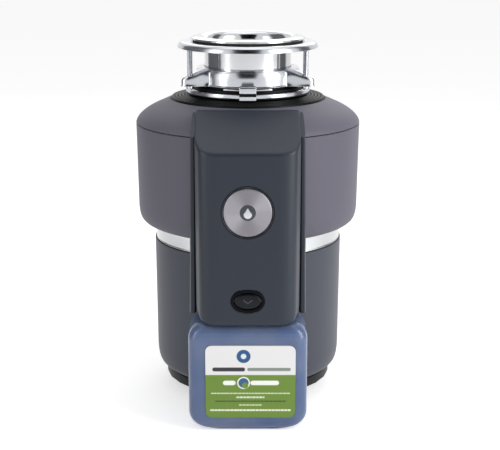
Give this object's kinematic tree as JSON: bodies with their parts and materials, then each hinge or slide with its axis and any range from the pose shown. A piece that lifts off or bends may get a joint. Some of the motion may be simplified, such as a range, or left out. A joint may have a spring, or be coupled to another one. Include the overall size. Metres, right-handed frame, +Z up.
{
  "type": "kitchen garbage disposal",
  "caption": "Under-sink food waste disposal: sink flange mount, domed drum, motor shell, turntable grinder, and a front dispenser with a removable cleaner bottle.",
  "frame": {"origin": "centre of the sink flange, in the plane where its lip seats on the sink", "axes": "+Z up along the axis of the drain and the motor; the dispenser faces -Y and the drain outlet +Y"},
  "size_m": [0.2256, 0.2721, 0.3625],
  "materials": {
    "stainless": "bright satin",
    "zinc_steel": "zinc plated",
    "cast_aluminium": "as cast",
    "lamination_steel": "varnished stack",
    "hardened_steel": "ground",
    "winding_copper": "varnished",
    "bearing_bronze": "sintered",
    "black_rubber": "matt",
    "fiber": "pressed fibre",
    "grey_paint": "satin metallic",
    "black_plastic": "moulded",
    "slate_plastic": "satin moulded",
    "gloss_black": "gloss",
    "foam": "open cell",
    "white_plastic": "moulded",
    "clear_blue": "translucent",
    "paper_label": "printed film",
    "red_plastic": "gloss",
    "green_screw": "dyed"
  },
  "bodies": {
    "casing": {"sink_flange": "stainless", "fiber_gasket": "fiber", "backup_flange": "zinc_steel", "snap_ring": "stainless", "mounting_ring": "zinc_steel", "mount_screw_1": "zinc_steel", "mount_screw_2": "zinc_steel", "mount_screw_3": "zinc_steel", "mounting_gasket": "black_rubber", "isolation_collar": "black_rubber", "upper_dome": "grey_paint", "upper_drum": "grey_paint", "insulation_liner": "foam", "trim_band": "stainless", "lower_shell": "grey_paint", "base_cover": "black_plastic", "wiring_plate": "zinc_steel", "ground_screw": "green_screw", "container_body": "black_plastic", "inlet_nipple": "black_plastic", "discharge_chamber": "black_plastic", "outlet_pipe": "black_plastic", "shredder_ring": "hardened_steel", "upper_end_frame": "cast_aluminium", "lower_end_frame": "cast_aluminium", "shaft_seal": "black_rubber", "upper_bearing": "bearing_bronze", "lower_bearing": "bearing_bronze", "stator_core": "lamination_steel", "upper_winding": "winding_copper", "lower_winding": "winding_copper", "through_bolt_1": "zinc_steel", "through_bolt_2": "zinc_steel", "through_bolt_3": "zinc_steel", "overload_protector": "black_plastic", "start_capacitor": "slate_plastic", "housing_frame": "grey_paint", "housing_cover": "slate_plastic", "badge_ring": "black_plastic", "badge_disc": "stainless", "button_bezel": "slate_plastic", "button_spring": "stainless", "bottle_socket": "white_plastic", "dosing_pump": "white_plastic", "delivery_tube": "white_plastic"},
    "lock_ring": {"lower_mounting_ring": "zinc_steel"},
    "rotor": {"turntable": "stainless", "impeller_rivet_1": "hardened_steel", "impeller_rivet_2": "hardened_steel", "rotor_shaft": "hardened_steel", "rotor_core": "lamination_steel"},
    "impeller_a": {"impeller_1": "hardened_steel"},
    "impeller_b": {"impeller_2": "hardened_steel"},
    "button": {"release_button": "gloss_black"},
    "latch": {"bottle_latch": "white_plastic"},
    "cartridge": {"cartridge_bottle": "clear_blue", "bottle_cap": "white_plastic", "dip_tube": "white_plastic", "bottle_label": "paper_label"},
    "reset": {"reset_button": "red_plastic"}
  },
  "joints": [
    {"name": "lock_ring_turn", "type": "hinge", "parent": "casing", "child": "lock_ring", "pos_m": [0, 0, -0.05], "axis": [0, 0, 1], "range_deg": [0, 35]},
    {"name": "rotor_spin", "type": "hinge", "parent": "casing", "child": "rotor", "pos_m": [0, 0, -0.2], "axis": [0, 0, 1], "continuous": true},
    {"name": "impeller_a_swivel", "type": "hinge", "parent": "rotor", "child": "impeller_a", "pos_m": [0.052, 0, -0.136], "axis": [0, 0, 1], "continuous": true},
    {"name": "impeller_b_swivel", "type": "hinge", "parent": "rotor", "child": "impeller_b", "pos_m": [-0.052, 0, -0.136], "axis": [0, 0, 1], "continuous": true},
    {"name": "button_press", "type": "slide", "parent": "casing", "child": "button", "axis": [0, 0.9996, -0.0276], "range_m": [0, 0.0018], "stiffness_N_per_m": 1200, "springref_m": -0.0008, "deforming": ["button_spring"]},
    {"name": "latch_swing", "type": "hinge", "parent": "casing", "child": "latch", "pos_m": [0, -0.1434, -0.2385], "axis": [1, 0, 0], "range_deg": [-17, 0]},
    {"name": "cartridge_drop", "type": "slide", "parent": "casing", "child": "cartridge", "axis": [0, 0, -1], "range_m": [0, 0.06]},
    {"name": "reset_pop", "type": "slide", "parent": "casing", "child": "reset", "axis": [0, 0, -1], "range_m": [0, 0.003]}
  ],
  "couplings": [
    {"joint": "latch_swing", "follows": "button_press", "rad_per_m": -155}
  ]
}
